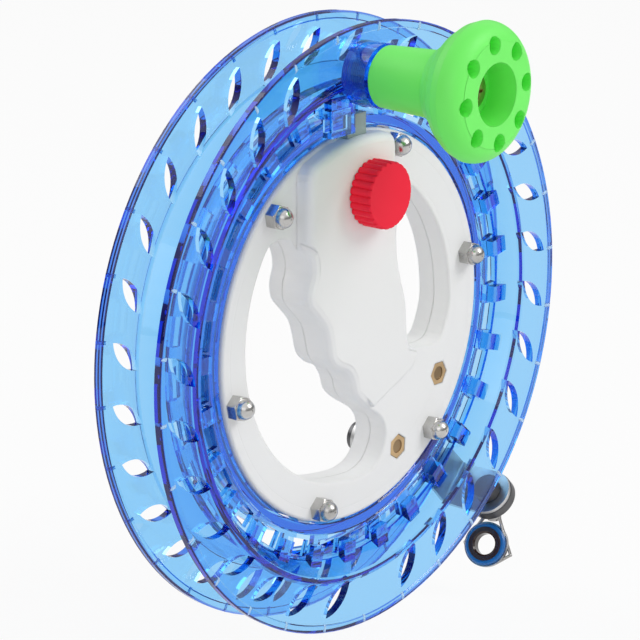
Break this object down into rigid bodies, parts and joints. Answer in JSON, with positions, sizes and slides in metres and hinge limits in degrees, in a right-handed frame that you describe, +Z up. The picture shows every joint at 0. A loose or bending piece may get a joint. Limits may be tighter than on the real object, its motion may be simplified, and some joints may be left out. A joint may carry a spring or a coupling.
{
  "type": "kite line winder",
  "caption": "Hand kite line winder: a clear flanged wheel running on ball bearings round a grip disc, with a crank knob, a wheel lock and a swivelling line guide.",
  "frame": {"origin": "on the wheel's axis, at the mid-plane between the two flanges, which is also where the hand grips the disc", "axes": "+Z up along the grip, +Y along the wheel's axis away from the crank side (the crank knob points to -Y), +X to the right seen from the crank side"},
  "size_m": [0.22, 0.0898, 0.2352],
  "materials": {
    "wheel_blue": "clear blue moulded polycarbonate, glossy",
    "shell_white": "satin white moulded plastic",
    "knob_green": "satin bright green moulded plastic",
    "lock_red": "satin red moulded plastic",
    "bright_nut": "bright nickel plate",
    "steel": "plain turned steel",
    "bracket_steel": "brushed stainless sheet",
    "zinc_yellow": "yellow zinc plate or brass",
    "dark_steel": "blackened steel",
    "band_blue": "blue moulded band",
    "insert_black": "polished black ceramic",
    "pawl_grey": "grey moulded plastic"
  },
  "bodies": {
    "hand_unit": {"hand_disc_front": "shell_white", "hand_disc_rear": "shell_white", "bearing_bolts": "steel", "acorn_nuts": "bright_nut", "bearing_inner_rings": "steel", "lock_retainer": "steel", "retainer_screws": "steel", "guide_bracket": "bracket_steel", "bracket_bolts": "dark_steel", "bracket_nuts": "zinc_yellow", "swivel_housing": "dark_steel"},
    "wheel": {"wheel_front_half": "wheel_blue", "wheel_rear_half": "wheel_blue", "crank_sleeve": "wheel_blue", "crank_spindle": "steel", "crank_screw": "zinc_yellow"},
    "crank_grip": {"crank_knob": "knob_green", "knob_bush": "zinc_yellow"},
    "lock": {"lock_knob": "lock_red", "lock_cam": "steel"},
    "pawl": {"lock_pawl": "pawl_grey", "pawl_pin": "steel"},
    "guide": {"swivel_pin": "dark_steel", "guide_tube": "bracket_steel", "guide_frame": "bracket_steel", "guide_band": "band_blue", "guide_insert": "insert_black"},
    "bearing_1": {"bearing_1": "steel"},
    "bearing_2": {"bearing_2": "steel"},
    "bearing_3": {"bearing_3": "steel"},
    "bearing_4": {"bearing_4": "steel"},
    "bearing_5": {"bearing_5": "steel"},
    "bearing_6": {"bearing_6": "steel"}
  },
  "joints": [
    {"name": "wheel_spin", "type": "hinge", "parent": "hand_unit", "child": "wheel", "pos_m": [0, 0, 0], "axis": [0, -1, 0], "continuous": true},
    {"name": "crank_knob_spin", "type": "hinge", "parent": "wheel", "child": "crank_grip", "pos_m": [-0.00555, 0, 0.09344], "axis": [0, -1, 0], "continuous": true},
    {"name": "lock_knob_turn", "type": "hinge", "parent": "hand_unit", "child": "lock", "pos_m": [0.0002, 0, 0.0501], "axis": [0, -1, 0], "range_deg": [0, 100]},
    {"name": "pawl_slide", "type": "slide", "parent": "hand_unit", "child": "pawl", "axis": [0, 0, 1], "range_m": [0, 0.0042]},
    {"name": "guide_swivel", "type": "hinge", "parent": "hand_unit", "child": "guide", "pos_m": [0.08768, -0.0025, -0.08768], "axis": [0.7071, 0, -0.7071], "continuous": true},
    {"name": "bearing_1_spin", "type": "hinge", "parent": "hand_unit", "child": "bearing_1", "pos_m": [0.06461, 0, 0.01373], "axis": [0, -1, 0], "continuous": true},
    {"name": "bearing_2_spin", "type": "hinge", "parent": "hand_unit", "child": "bearing_2", "pos_m": [0.02041, 0, 0.06282], "axis": [0, -1, 0], "continuous": true},
    {"name": "bearing_3_spin", "type": "hinge", "parent": "hand_unit", "child": "bearing_3", "pos_m": [-0.0442, 0, 0.04908], "axis": [0, -1, 0], "continuous": true},
    {"name": "bearing_4_spin", "type": "hinge", "parent": "hand_unit", "child": "bearing_4", "pos_m": [-0.06461, 0, -0.01373], "axis": [0, -1, 0], "continuous": true},
    {"name": "bearing_5_spin", "type": "hinge", "parent": "hand_unit", "child": "bearing_5", "pos_m": [-0.02041, 0, -0.06282], "axis": [0, -1, 0], "continuous": true},
    {"name": "bearing_6_spin", "type": "hinge", "parent": "hand_unit", "child": "bearing_6", "pos_m": [0.0442, 0, -0.04908], "axis": [0, -1, 0], "continuous": true}
  ],
  "couplings": [
    {"joint": "pawl_slide", "follows": "lock_knob_turn", "m_per_rad": 0.002406},
    {"joint": "bearing_1_spin", "follows": "wheel_spin", "ratio": 11.16},
    {"joint": "bearing_2_spin", "follows": "wheel_spin", "ratio": 11.16},
    {"joint": "bearing_3_spin", "follows": "wheel_spin", "ratio": 11.16},
    {"joint": "bearing_4_spin", "follows": "wheel_spin", "ratio": 11.16},
    {"joint": "bearing_5_spin", "follows": "wheel_spin", "ratio": 11.16},
    {"joint": "bearing_6_spin", "follows": "wheel_spin", "ratio": 11.16}
  ]
}
